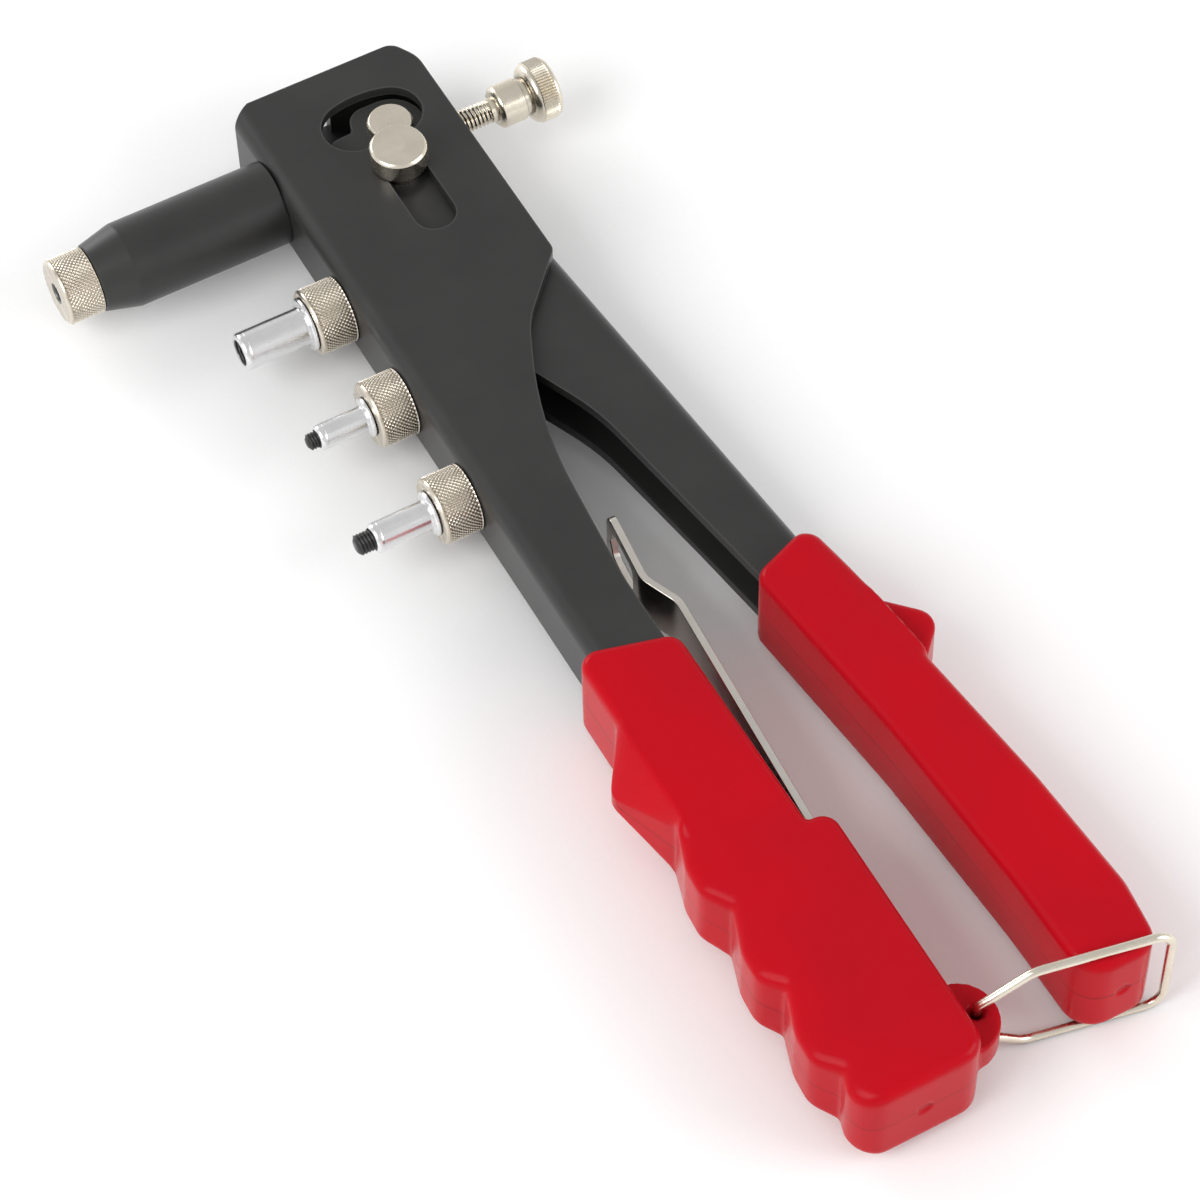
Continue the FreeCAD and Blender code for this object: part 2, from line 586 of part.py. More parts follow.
def make_spanner():
    """A flat strip with a cranked, pierced head."""
    body = new_body("spanner_body")
    thick = size("spanner_thickness")
    front = [(21.7, -120.6), (19.7, -139.6), (23.4, -148.4), (spanner_front(-255.5), -255.5)]
    corners = [(x, y, 6 if 0 < index < 3 else 0) for index, (x, y) in enumerate(front)]
    corners += [(x + thick, y, 6 if 0 < index < 3 else 0)
                for index, (x, y) in reversed(list(enumerate(front)))]
    add_pad(body, "spanner_pad", rounded_loop(corners), "dims.spanner_width")
    half_hole = 4.6
    hole = [(-135.2, -half_hole, 2.2), (-124.4, -half_hole, 2.2), (-122.6, 0, 1.5),
            (-124.4, half_hole, 2.2), (-135.2, half_hole, 2.2)]
    add_pocket(body, "spanner_eye", rounded_loop(hole), "80", "YZ_Plane")
    add_edge_feature(body, "Fillet", "spanner_corners", lambda edge: on_points(
        edge, lambda point: point.y > -121.2) and abs(edge.Length - thick) < 0.2, Radius="3")
    finish(body, "spanner")


make_body_frame()
make_nose()
make_spares()
make_pivot_pin()
make_pull_pins()
make_block()
make_spindle()
make_lever()
make_fixed_grip()
make_lever_grip()
make_bail()
make_spanner()
doc.recompute()

for item in doc.Objects:
    if "Invalid" in item.State or "Error" in item.State:
        raise RuntimeError("%s is %s" % (item.Name, item.State))

os.makedirs("parts", exist_ok=True)
for node in NODES:
    if node.Shape.isNull() or not node.Shape.isValid():
        raise RuntimeError(node.Label + " has no valid shape")
    node.Shape.exportStep("parts/%s.step" % node.Label)
    print("%-24s volume %10.1f mm3, solids %d" % (node.Label, node.Shape.Volume,
                                                  len(node.Shape.Solids)))
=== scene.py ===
import json
import math

import bmesh
import bpy
import numpy as np
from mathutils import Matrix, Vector


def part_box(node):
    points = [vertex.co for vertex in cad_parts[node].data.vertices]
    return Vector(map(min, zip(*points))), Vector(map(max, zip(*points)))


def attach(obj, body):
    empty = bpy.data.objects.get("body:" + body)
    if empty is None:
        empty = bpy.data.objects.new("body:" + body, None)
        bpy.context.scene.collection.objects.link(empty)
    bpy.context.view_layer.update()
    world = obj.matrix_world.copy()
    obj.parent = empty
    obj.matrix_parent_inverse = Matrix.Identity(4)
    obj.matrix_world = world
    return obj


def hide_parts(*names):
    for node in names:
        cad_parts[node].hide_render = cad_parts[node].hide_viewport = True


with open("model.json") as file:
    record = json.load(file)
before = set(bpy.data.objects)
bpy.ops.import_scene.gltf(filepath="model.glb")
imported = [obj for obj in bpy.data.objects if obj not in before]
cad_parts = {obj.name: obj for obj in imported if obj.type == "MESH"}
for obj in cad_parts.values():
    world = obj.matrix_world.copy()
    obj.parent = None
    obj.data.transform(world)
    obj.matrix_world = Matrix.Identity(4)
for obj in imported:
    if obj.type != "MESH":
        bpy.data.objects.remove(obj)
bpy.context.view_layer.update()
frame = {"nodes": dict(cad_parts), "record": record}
MM = 0.001
THREAD_RADIUS = {"m4": 2.0, "m5": 2.5, "m6": 3.0}      # mm
THREAD_PITCH = {"m4": 0.7, "m5": 0.8, "m6": 1.0}       # mm
SHANK_RADIUS = {"m4": 3.0, "m5": 3.5, "m6": 4.5}       # mm, outside of each rivet nut
KNURL_COUNT = 46                                       # diamonds round a nosepiece
KNOB_RIDGES = 64
WIRE_RADIUS = 1.0                                      # mm, of the bail
HINGE = {joint["name"]: joint.get("pos_m") for joint in frame["record"]["behaviour"]["joints"]}
# Drawing zero, in mm, is where the nose axis meets the body's front face, on the middle plane.
# The lever's hinge is 27.5 mm behind it and 11.7 mm below it.
DRAWING_ZERO = Vector(HINGE["lever_hinge"]) / MM - Vector((27.5, -11.7, 0))
BODY_OF = {node: body for body, nodes in frame["record"]["behaviour"]["bodies"].items()
           for node in nodes}


# ---------------------------------------------------------------- node materials

class Nodes:
    """A small helper that builds one procedural material."""

    def __init__(self, name):
        self.material = bpy.data.materials.new(name)
        self.material.use_nodes = True
        self.tree = self.material.node_tree
        self.shader = self.tree.nodes["Principled BSDF"]
        self.place = self.tree.nodes.new("ShaderNodeTexCoord").outputs["Object"]

    def add(self, kind, settings=None, **inputs):
        node = self.tree.nodes.new("ShaderNode" + kind)
        for name, value in (settings or {}).items():
            setattr(node, name, value)
        for name, value in inputs.items():
            self.feed(node.inputs[name.replace("_", " ")], value)
        return node

    def feed(self, socket, value):
        if isinstance(value, bpy.types.NodeSocket):
            self.tree.links.new(value, socket)
        else:
            socket.default_value = value

    def set(self, **inputs):
        for name, value in inputs.items():
            self.feed(self.shader.inputs[name.replace("_", " ")], value)

    def stretched(self, scale):
        """Object coordinates scaled along each axis."""
        return self.add("Mapping", Vector=self.place, Scale=scale).outputs["Vector"]

    def noise(self, scale, detail=3.0, roughness=0.5, vector=None):
        return self.add("TexNoise", Vector=vector or self.place, Scale=scale, Detail=detail,
                        Roughness=roughness).outputs["Fac"]

    def ramp(self, value, low, high, low_to, high_to):
        """Maps low..high of a value to low_to..high_to, held at the ends."""
        node = self.add("MapRange", {"clamp": True}, Value=value)
        for socket, number in zip(("From Min", "From Max", "To Min", "To Max"),
                                  (low, high, low_to, high_to)):
            node.inputs[socket].default_value = number
        return node.outputs["Result"]

    def mix(self, share, first, second):
        """Blends two colours, each three numbers or another node's output."""
        node = self.add("Mix", {"data_type": "RGBA"})
        self.feed(node.inputs[0], share)
        for socket, colour in ((node.inputs[6], first), (node.inputs[7], second)):
            self.feed(socket, (*colour, 1) if isinstance(colour, tuple) else colour)
        return node.outputs[2]

    def math(self, operation, first, second=0.0):
        node = self.add("Math", {"operation": operation})
        self.feed(node.inputs[0], first)
        self.feed(node.inputs[1], second)
        return node.outputs[0]

    def bumps(self, *layers):
        """Stacks bump layers, each (height, distance in metres, strength)."""
        normal = None
        for height, distance, strength in layers:
            node = self.add("Bump", Height=height, Distance=distance, Strength=strength)
            if normal:
                self.feed(node.inputs["Normal"], normal)
            normal = node.outputs["Normal"]
        self.set(Normal=normal)


def crest_wear_and_highlight(nodes, low, high):
    """0 in grooves, 1 on crests, from the curvature of a finely meshed knurl or thread: a painted
    highlight on knurl crests, rubbed wear on thread crests.
    """
    pointiness = nodes.add("NewGeometry").outputs["Pointiness"]
    return nodes.ramp(pointiness, low, high, 0.0, 1.0)


def rubbed_and_lit_edges(nodes, distance, low, high):
    """1 along outer edges, 0 on flats: looks for a near way out through the solid; used for lighter
    edges that are partly rubbed paint and partly a painted highlight.
    """
    buried = nodes.add("AmbientOcclusion", {"samples": 6, "inside": True}, Distance=distance)
    return nodes.ramp(buried.outputs["AO"], low, high, 1.0, 0.0)


def painted_shade_in_hollows(nodes, distance, low, high):
    """Painted shade: 1 deep inside bores, grooves and threads, 0 in the open, from ambient occlusion.
    """
    hidden = nodes.add("AmbientOcclusion", {"samples": 6}, Distance=distance)
    return nodes.ramp(hidden.outputs["AO"], low, high, 1.0, 0.0)


def black_steel_material():
    """Satin black baked finish: fine orange peel, faint sheet waviness, dust, and lighter outer edges
    that are partly rubbed paint and partly a painted highlight.
    """
    nodes = Nodes("black_steel")
    cloud = nodes.noise(60, 4)
    speck = nodes.ramp(nodes.noise(900, 2), 0.80, 0.84, 0.0, 1.0)
    dark = nodes.mix(nodes.ramp(cloud, 0.3, 0.7, 0, 1), (0.021, 0.021, 0.0205),
                     (0.027, 0.0265, 0.0257))
    dusty = nodes.mix(nodes.math("MULTIPLY", speck, 0.30), dark, (0.30, 0.29, 0.28))
    # Outer edges painted lighter grey: partly rubbed paint, partly a painted edge highlight.
    edges = nodes.math("MULTIPLY", rubbed_and_lit_edges(nodes, 0.0006, 0.45, 0.85), 0.45)
    rubbed_and_lit_colour = nodes.mix(edges, dusty, (0.12, 0.118, 0.114))
    nodes.set(Base_Color=rubbed_and_lit_colour, Roughness=nodes.ramp(cloud, 0.2, 0.8, 0.30, 0.40),
              Specular_IOR_Level=0.42)
    nodes.bumps((nodes.noise(14, 1), 0.0010, 0.22), (nodes.noise(1500, 2), 0.00002, 0.35))
    return nodes.material


def plated_material(name, light, dark, roughness, brushed=(600, 600, 600)):
    """Plated metal: cloudy colour, fine tool marks along one way, painted shade in the hollows."""
    nodes = Nodes(name)
    cloud = nodes.noise(160, 4)
    marks = nodes.noise(1.0, 3, 0.6, nodes.stretched(brushed))
    hollow_shade = painted_shade_in_hollows(nodes, 0.005, 0.20, 0.62)
    colour_outside_hollows = nodes.mix(nodes.ramp(cloud, 0.3, 0.75, 0, 1), light, dark)
    # Hollows are painted a dark brown-black as shade.
    nodes.set(Base_Color=nodes.mix(hollow_shade, colour_outside_hollows, (0.06, 0.05, 0.04)), Metallic=1.0,
              Roughness=nodes.ramp(marks, 0.25, 0.75, roughness - 0.05, roughness + 0.07))
    nodes.bumps((cloud, 0.00004, 0.25), (marks, 0.00001, 0.5))
    return nodes.material


def knurled_material():
    """Nickel over a rolled knurl: crests painted light as a highlight, dull warm grooves and hollows
    painted dark as shade.
    """
    nodes = Nodes("knurled_nickel")
    cloud = nodes.noise(300, 3)
    # Painted shade: ambient occlusion darkens the grooves and hollows.
    hollow_shade = painted_shade_in_hollows(nodes, 0.004, 0.22, 0.66)
    # Painted highlight on the crests and painted shade in the grooves, from curvature.
    colour_outside_hollows = nodes.mix(crest_wear_and_highlight(nodes, 0.46, 0.56), (0.42, 0.36, 0.28), (0.84, 0.78, 0.68))
    nodes.set(Base_Color=nodes.mix(hollow_shade, colour_outside_hollows, (0.045, 0.035, 0.025)), Metallic=1.0,
              Roughness=nodes.ramp(cloud, 0.3, 0.7, 0.22, 0.34))
    nodes.bumps((nodes.noise(2500, 2), 0.00002, 0.3))
    return nodes.material


def black_oxide_material():
    """Blackened steel, with thread crests rubbed to grey."""
    nodes = Nodes("black_oxide")
    cloud = nodes.noise(700, 3)
    steel = nodes.mix(crest_wear_and_highlight(nodes, 0.5, 0.6), (0.018, 0.018, 0.019), (0.085, 0.083, 0.08))
    nodes.set(Base_Color=steel, Metallic=0.55, Roughness=nodes.ramp(cloud, 0.3, 0.7, 0.30, 0.48))
    nodes.bumps((cloud, 0.00003, 0.4))
    return nodes.material


def grip_material():
    """Dipped vinyl: deep red with soft mottling, a fine parting line and dust specks."""
    nodes = Nodes("red_vinyl")
    height = nodes.add("SeparateXYZ", Vector=nodes.place).outputs["Z"]
    middle_height = HINGE["lever_hinge"][2]
    from_middle = nodes.math("ABSOLUTE", nodes.math("SUBTRACT", height, middle_height))
    wander = nodes.math("MULTIPLY", nodes.noise(45, 2), 0.0004)
    line = nodes.ramp(nodes.math("ADD", from_middle, wander), 0.00030, 0.00052, 1.0, 0.0)
    cloud = nodes.noise(28, 3)
    speck = nodes.ramp(nodes.noise(700, 2), 0.80, 0.83, 0.0, 1.0)
    red = nodes.mix(nodes.ramp(cloud, 0.3, 0.7, 0, 1), (0.48, 0.003, 0.010), (0.41, 0.004, 0.011))
    lined = nodes.mix(nodes.math("MULTIPLY", line, 0.6), red, (0.14, 0.004, 0.006))
    nodes.set(Base_Color=lined, Roughness=nodes.ramp(cloud, 0.3, 0.7, 0.17, 0.25),
              Specular_IOR_Level=0.08, Subsurface_Weight=0.06, Subsurface_Scale=0.6,
              Subsurface_Radius=(0.003, 0.0006, 0.0005))
    nodes.bumps((nodes.noise(16, 1), 0.0030, 0.30), (line, 0.00015, -0.8), (speck, 0.00008, 0.5))
    return nodes.material


MATERIALS = {
    "black_steel": black_steel_material(),
    "nickel": plated_material("polished_nickel", (0.82, 0.76, 0.65), (0.74, 0.67, 0.55), 0.24),
    "zinc": plated_material("bright_zinc", (0.88, 0.88, 0.89), (0.78, 0.78, 0.78), 0.24,
                            (90, 2500, 2500)),
    # Darker zinc for the walls of bores: painted shade.
    "bore": plated_material("zinc_in_bore_painted_shade", (0.26, 0.26, 0.26), (0.14, 0.14, 0.14), 0.38),
    "strip": plated_material("spanner_nickel", (0.74, 0.70, 0.64), (0.66, 0.62, 0.56), 0.22,
                             (2600, 120, 2600)),
    "knurled": knurled_material(),
    "black_oxide": black_oxide_material(),
    "red_grip": grip_material(),
}


# ---------------------------------------------------------------- placing pieces

def put(name, mesh, node, look, sharp, weighted=True):
    """A finished piece that stands for a CAD node and moves with that node's body."""
    piece = bpy.data.objects.new(name, mesh)
    bpy.context.scene.collection.objects.link(piece)
    mesh.materials.clear()
    mesh.materials.append(MATERIALS[look])
    mesh.shade_smooth()
    mesh.set_sharp_from_angle(angle=math.radians(sharp))
    if weighted:
        piece.modifiers.new("weighted", "WEIGHTED_NORMAL").keep_sharp = True
    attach(piece, BODY_OF[node])
    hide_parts(node)
    return piece


def lying_along_x(node):
    """Front centre in metres, radius and length in mm of a round node that lies along X."""
    low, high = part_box(node)
    middle = (low + high) / 2
    return (low.x, middle.y, middle.z), (high.z - low.z) / 2 / MM, (high.x - low.x) / MM


def standing_along_z(node):
    """Lower centre in metres, radius and length in mm of a round node that stands along Z."""
    low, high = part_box(node)
    middle = (low + high) / 2
    return (middle.x, middle.y, low.z), (high.x - low.x) / 2 / MM, (high.z - low.z) / MM


def cleaned(mesh):
    """Merges points that coincide and turns every face outwards."""
    shape = bmesh.new()
    shape.from_mesh(mesh)
    bmesh.ops.remove_doubles(shape, verts=shape.verts, dist=1e-7)
    bmesh.ops.dissolve_degenerate(shape, dist=1e-8, edges=shape.edges)
    bmesh.ops.recalc_face_normals(shape, faces=shape.faces)
    shape.to_mesh(mesh)
    shape.free()
    return mesh


# ---------------------------------------------------------------- turned pieces

def run(start, end, radius, step):
    """Evenly spaced profile points from start up to, but not including, end."""
    count = max(1, round(abs(end - start) / step))
    return [(start + (end - start) * i / count, radius) for i in range(count)]


def turned(name, node, look, origin, profile, axis="X", around=96, relief=None, loop=False,
           sharp=40):
    """Spins a profile of (along, radius) in mm about an axis, with relief(along, radius, angle)."""
    along = np.array([point[0] for point in profile])
    radius = np.array([point[1] for point in profile])
    angles = np.arange(around) * 2 * math.pi / around
    grid_along, grid_angle = np.meshgrid(along, angles, indexing="ij")
    grid_radius = np.repeat(radius[:, None], around, axis=1)
    if relief is not None:
        grid_radius = grid_radius + relief(grid_along, grid_radius, grid_angle)
    first, second = grid_radius * np.cos(grid_angle), grid_radius * np.sin(grid_angle)
    if axis == "X":
        points = np.stack([grid_along, first, second], axis=-1)
    else:
        points = np.stack([first, second, grid_along], axis=-1)
    points = points.reshape(-1, 3) * MM + np.array(origin)
    rows = len(profile)
    faces = []
    for i in range(rows if loop else rows - 1):
        j = (i + 1) % rows
        for k in range(around):
            n = (k + 1) % around
            faces.append((i * around + k, j * around + k, j * around + n, i * around + n))
    mesh = bpy.data.meshes.new(name)
    mesh.from_pydata(points.tolist(), [], faces)
    return put(name, cleaned(mesh), node, look, sharp)


def zigzag(turns):
    """0 at whole numbers, 1 half-way between."""
    return 1 - np.abs(2 * (turns - np.floor(turns)) - 1)


def diamond_knurl(start, end, radius, depth=0.40):
    """Relief of a diamond knurl between two places along the axis."""
    pitch = 2 * math.pi * radius / KNURL_COUNT

    def relief(along, grid_radius, angle):
        turns = angle * KNURL_COUNT / (2 * math.pi)
        crest = np.minimum(zigzag(turns + along / pitch), zigzag(turns - along / pitch))
        inside = (along > start) & (along < end) & (grid_radius > radius - 0.5)
        return np.where(inside, (crest - 1) * depth, 0.0)

    return relief


def straight_knurl(start, end, radius, depth=0.36):
    """Relief of ridges along the axis between two places."""
    def relief(along, grid_radius, angle):
        crest = zigzag(angle * KNOB_RIDGES / (2 * math.pi))
        inside = (along > start) & (along < end) & (grid_radius > radius - 0.05)
        return np.where(inside, (crest - 1) * depth, 0.0)

    return relief


def outside_thread(start, end, pitch, radius):
    """Relief of a V thread; radius is the crest."""
    def relief(along, grid_radius, angle):
        crest = zigzag(along / pitch - angle / (2 * math.pi))
        inside = (along > start) & (along < end) & (grid_radius > radius * 0.9)
        return np.where(inside, (crest - 1) * pitch * 0.4, 0.0)

    return relief


def inside_thread(start, end, pitch, radius):
    """Relief of a V thread cut into a bore; radius is the crest."""
    def relief(along, grid_radius, angle):
        groove = zigzag(along / pitch - angle / (2 * math.pi))
        inside = (along > start) & (along < end) & (grid_radius < radius + 0.01)
        return np.where(inside, groove * pitch * 0.5, 0.0)

    return relief


def darken_bore(piece, origin, radius):
    """Walls near the axis get the darker bore zinc: painted shade for a bore that light hardly
    reaches.
    """
    piece.data.materials.append(MATERIALS["bore"])
    for face in piece.data.polygons:
        away = math.hypot(face.center.y - origin[1], face.center.z - origin[2])
        if away < radius * MM and abs(face.normal.x) < 0.9:
            face.material_index = 1


def make_nosepiece(node, head, bore):
    """Knurled nosepiece: face with a small lead-in, narrow band, knurl, relieved rear edge, shank."""
    origin, radius, length = lying_along_x(node)
    shank = 5.9
    band, knurl_end = 0.75, head - 0.3
    step = 2 * math.pi * radius / KNURL_COUNT / 6
    profile = [(0.0, bore + 0.15), (0.0, bore + 0.6), (0.0, radius - 1.2), (0.0, radius - 0.8),
               (0.05, radius - 0.62), (0.4, radius - 0.26), (band - 0.05, radius - 0.18)]
    profile += run(band, knurl_end, radius, step)
    profile += [(knurl_end, radius - 0.05), (head - 0.04, radius - 0.42), (head, radius - 0.6),
                (head, shank), (length, shank), (length, bore), (1.0, bore), (0.15, bore)]
    piece = turned(node + "_knurled", node, "knurled", origin, profile, around=KNURL_COUNT * 6,
                   relief=diamond_knurl(band, knurl_end, radius), loop=True, sharp=50)
    darken_bore(piece, origin, bore + 0.3)


def make_rivet_nut(size):
    """Rivet nut with a rounded flange; the bore is threaded as far as no mandrel fills it."""
    node = "rivet_nut_" + size
    origin, flange, length = lying_along_x(node)
    thread, pitch, shank = THREAD_RADIUS[size], THREAD_PITCH[size], SHANK_RADIUS[size]
    empty = (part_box("spare_mandrel_" + size)[0].x - origin[0]) / MM
    bore_start = 0.3
    profile = run(empty, bore_start, thread, pitch / 8) if empty > 1 else []
    profile += [(0.25, thread), (0.0, thread + 0.2), (0.0, shank - 0.75), (0.07, shank - 0.5),
                (0.35, shank - 0.16), (0.8, shank), (1.6, shank), (1.75, shank - 0.06),
                (1.9, shank), (length - 1.75, shank), (length - 1.35, shank + 0.12),
                (length - 1.15, shank + 0.45), (length - 1.1, flange - 0.6),
                (length - 0.98, flange - 0.22), (length - 0.7, flange), (length - 0.25, flange),
                (length, flange - 0.25), (length, thread)]
    piece = turned(node + "_zinc", node, "zinc", origin, profile, loop=True,
                   relief=inside_thread(bore_start, empty, pitch, thread))
    darken_bore(piece, origin, thread + 0.5)


def make_spare_mandrel(size):
    """Threaded mandrel with a domed tip and a collar at its rear end."""
    node = "spare_mandrel_" + size
    origin, _, length = lying_along_x(node)
    thread, pitch = THREAD_RADIUS[size], THREAD_PITCH[size]
    thread_end, collar = 9.0, 2.5
    profile = [(0.0, 0.0), (0.0, thread - 0.9), (0.35, thread - 0.45)]
    profile += run(0.5, thread_end, thread, pitch / 8)
    profile += [(thread_end, thread), (length - collar, thread), (length - collar, thread + 1.0),
                (length - 0.2, thread + 1.2), (length, thread + 1.0), (length, 0.0)]
    turned(node + "_thread", node, "black_oxide", origin, profile, around=48,
           relief=outside_thread(0.45, thread_end, pitch, thread), sharp=60)


def make_draw_rod():
    """Rod along the nose axis, threaded behind the lock nut."""
    origin, radius, length = lying_along_x("draw_rod")
    start = (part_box("lock_nut")[1].x - origin[0]) / MM + 1
    end = length - 6
    profile = [(0.0, 0.0), (0.0, radius - 0.7), (1.0, radius), (start, radius)]
    profile += run(start, end, radius, 0.125)
    profile += [(end, radius), (length, radius), (length, 0.0)]
    turned("draw_rod_threaded", "draw_rod", "nickel", origin, profile, around=48,
           relief=outside_thread(start, end, THREAD_PITCH["m6"], radius), sharp=60)


def make_mandrel():
    """The mandrel in use, threaded at its front."""
    origin, radius, length = lying_along_x("mandrel")
    thread_end = 14.0
    profile = [(0.0, 0.0), (0.0, radius - 0.8), (0.3, radius - 0.4)]
    profile += run(0.45, thread_end, radius, 0.1)
    profile += [(thread_end, radius), (length, radius), (length, 0)]
    turned("mandrel_threaded", "mandrel", "black_oxide", origin, profile, around=48,
           relief=outside_thread(0.4, thread_end, THREAD_PITCH["m5"], radius), sharp=60)


def make_knob_hub():
    """Smooth hub with a rounded front shoulder."""
    origin, radius, length = lying_along_x("knob_hub")
    profile = [(0.0, 3.0), (0.0, radius - 0.95), (0.18, radius - 0.7), (0.75, radius - 0.08),
               (0.95, radius), (length - 0.1, radius), (length, radius - 0.1), (length, 3.0)]
    turned("knob_hub_turned", "knob_hub", "nickel", origin, profile, loop=True)


def make_knob():
    """Knob: thin neck, rounded front band, straight knurl, rounded rear rim, shallow dish."""
    origin, radius, length = lying_along_x("knob")
    neck, neck_radius = 1.5, 4.4
    knurl_start, knurl_end = neck + 1.95, length - 1.45
    profile = [(0.0, 0.0), (0.0, neck_radius), (neck, neck_radius), (neck, radius - 2.6),
               (neck + 0.1, radius - 2.1), (neck + 0.4, radius - 1.3), (neck + 0.8, radius - 0.75),
               (neck + 1.2, radius - 0.42), (neck + 1.5, radius - 0.3),
               (neck + 1.75, radius - 0.3), (neck + 1.9, radius - 0.08)]
    profile += run(knurl_start, knurl_end, radius, 0.4)
    profile += [(knurl_end, radius), (length - 1.4, radius - 0.22), (length - 1.1, radius - 0.2),
                (length - 0.7, radius - 0.4), (length - 0.35, radius - 0.8),
                (length - 0.1, radius - 1.4), (length, radius - 2.1), (length, 3.0),
                (length - 0.3, 2.4), (length - 0.35, 0.0)]
    turned("knob_straight_knurl", "knob", "nickel", origin, profile, around=KNOB_RIDGES * 6,
           relief=straight_knurl(knurl_start - 0.03, knurl_end + 0.03, radius))


def make_nose_tube():
    """Turned tube: straight barrel, cone at the front, small spigot behind; open through."""
    origin, radius, length = lying_along_x("nose_tube")
    spigot, cone, wide_bore, bore = 6.0, 8.2, 5.95, 5.6
    barrel_end, wide_bore_end = length - spigot, 7.0
    profile = [(0.0, wide_bore + 0.15), (0.0, 7.8), (0.12, 8.02), (0.3, 8.18),
               (cone - 0.3, radius - 0.1), (cone, radius - 0.03), (cone + 0.3, radius),
               (barrel_end - 0.35, radius), (barrel_end - 0.1, radius - 0.1),
               (barrel_end, radius - 0.3), (barrel_end, 7.0), (length, 7.0), (length, bore),
               (wide_bore_end, bore), (wide_bore_end, wide_bore), (0.15, wide_bore)]
    turned("nose_tube_turned", "nose_tube", "black_steel", origin, profile, around=128, loop=True,
           sharp=20)


def make_pivot_pin():
    """Large flat-headed pin: rounded rim, polished face with a shallow turned dimple."""
    origin, radius, length = standing_along_z("pivot_pin")
    head, journal, tail = length - 5.75, 4.9, 3.4
    profile = [(0.0, 0.0), (0.0, tail - 0.3), (0.3, tail), (4.2, tail), (4.2, journal),
               (head, journal), (head, radius - 0.5), (head + 0.12, radius - 0.2),
               (head + 0.5, radius), (length - 0.85, radius), (length - 0.65, radius - 0.05),
               (length - 0.12, radius - 0.5), (length - 0.03, radius - 0.62),
               (length, radius - 0.8), (length, radius - 1.1), (length, 2.0), (length, 1.5),
               (length - 0.03, 1.3), (length - 0.09, 0.9), (length - 0.1, 0.5), (length - 0.1, 0.0)]
    turned("pivot_pin_polished", "pivot_pin", "nickel", origin, profile, axis="Z", around=128,
           sharp=28)


def make_pull_pins():
    """Two short pins with rounded rims, one above and one below the draw block."""
    origin, radius, length = standing_along_z("pull_pins")
    shoulder, inner_end, stem = 4.7, 6.3, 4.0
    lower = [(inner_end, 0.0), (inner_end, stem - 0.4), (inner_end - 0.4, stem), (shoulder, stem),
             (shoulder, radius), (0.7, radius), (0.5, radius - 0.05), (0.1, radius - 0.4),
             (0.02, radius - 0.52), (0.0, radius - 0.7), (0.0, radius - 1.0), (0.0, 1.0), (0.0, 0.0)]
    upper = [(length - along, away) for along, away in lower]
    for side, profile in (("lower", lower), ("upper", upper)):
        turned("pull_pin_" + side, "pull_pins", "nickel", origin, profile, axis="Z", sharp=28)


# ---------------------------------------------------------------- bent wire

def rounded_path(corners, steps=8):
    """A flat path of (reach, height, radius) corners with an arc at each inner corner."""
    places = [np.array(corner[:2], float) for corner in corners]
    path = [places[0]]
    for index in range(1, len(corners) - 1):
        here, radius = places[index], corners[index][2]
        back = places[index - 1] - here
        ahead = places[index + 1] - here
        back, ahead = back / np.linalg.norm(back), ahead / np.linalg.norm(ahead)
        half = math.acos(float(np.clip(back @ ahead, -1, 1))) / 2
        middle = here + (back + ahead) / np.linalg.norm(back + ahead) * radius / math.sin(half)
        first = here + back * radius / math.tan(half) - middle
        last = here + ahead * radius / math.tan(half) - middle
        for step in range(steps + 1):
            share = step / steps
            spoke = first * (1 - share) + last * share
            path.append(middle + spoke / np.linalg.norm(spoke) * radius)
    return path + [places[-1]]


def make_bail(around=24):
    """The bent wire loop: both ends in the ear, legs past the grip, closed far end."""
    low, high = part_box("wire_bail")
    hinge = Vector(HINGE["bail_hinge"])
    lean = math.radians(-11.8)
    leg = (high.z - low.z) / 2 / MM - WIRE_RADIUS
    ear_gap, ear_side, flare, reach = 1.2, 5.6, 11.5, 41.6
    upper = [(0, ear_gap, 0), (0, ear_side, 2.2), (flare, leg, 6), (reach, leg, 4.4)]
    lower = [(along, -height, bend) for along, height, bend in reversed(upper)]
    path = rounded_path(upper + lower)
    blunt_end = [(0.0, 0.0), (0.0, WIRE_RADIUS - 0.25), (0.12, WIRE_RADIUS - 0.08),
                 (0.3, WIRE_RADIUS)]
    points = []
    for index, (along, height) in enumerate(path):
        before, after = path[max(index - 1, 0)], path[min(index + 1, len(path) - 1)]
        tangent = (after - before) / np.linalg.norm(after - before)
        rings = blunt_end if index in (0, len(path) - 1) else [(0.0, WIRE_RADIUS)]
        if index:
            rings = [(-inset, radius) for inset, radius in reversed(rings)]
        for inset, radius in rings:
            for k in range(around):
                turn = 2 * math.pi * k / around
                across = radius * math.cos(turn)
                u = along + tangent[0] * inset - tangent[1] * across
                v = radius * math.sin(turn)
                w = height + tangent[1] * inset + tangent[0] * across
                points.append((hinge.x + (u * math.cos(lean) - v * math.sin(lean)) * MM,
                               hinge.y + (u * math.sin(lean) + v * math.cos(lean)) * MM,
                               hinge.z + w * MM))
    faces = []
    for i in range(len(points) // around - 1):
        for k in range(around):
            n = (k + 1) % around
            faces.append((i * around + k, i * around + n, (i + 1) * around + n,
                          (i + 1) * around + k))
    mesh = bpy.data.meshes.new("wire_bail_bent")
    mesh.from_pydata(points, [], faces)
    put("wire_bail_bent", cleaned(mesh), "wire_bail", "nickel", 50)


# ---------------------------------------------------------------- pressed and milled pieces

# Each node with its look and how far its edges are broken, in mm.
PRESSED_AND_MILLED = (("body_frame", "black_steel", 0.28), ("lever_channel", "black_steel", 0.3),
                      ("draw_block", "black_oxide", 0.2), ("mandrel_holder", "black_oxide", 0.2),
                      ("thrust_washer", "nickel", 0.2), ("lock_nut", "nickel", 0.3),
                      ("pivot_retaining_ring", "nickel", 0.2), ("spanner", "strip", 0.25))


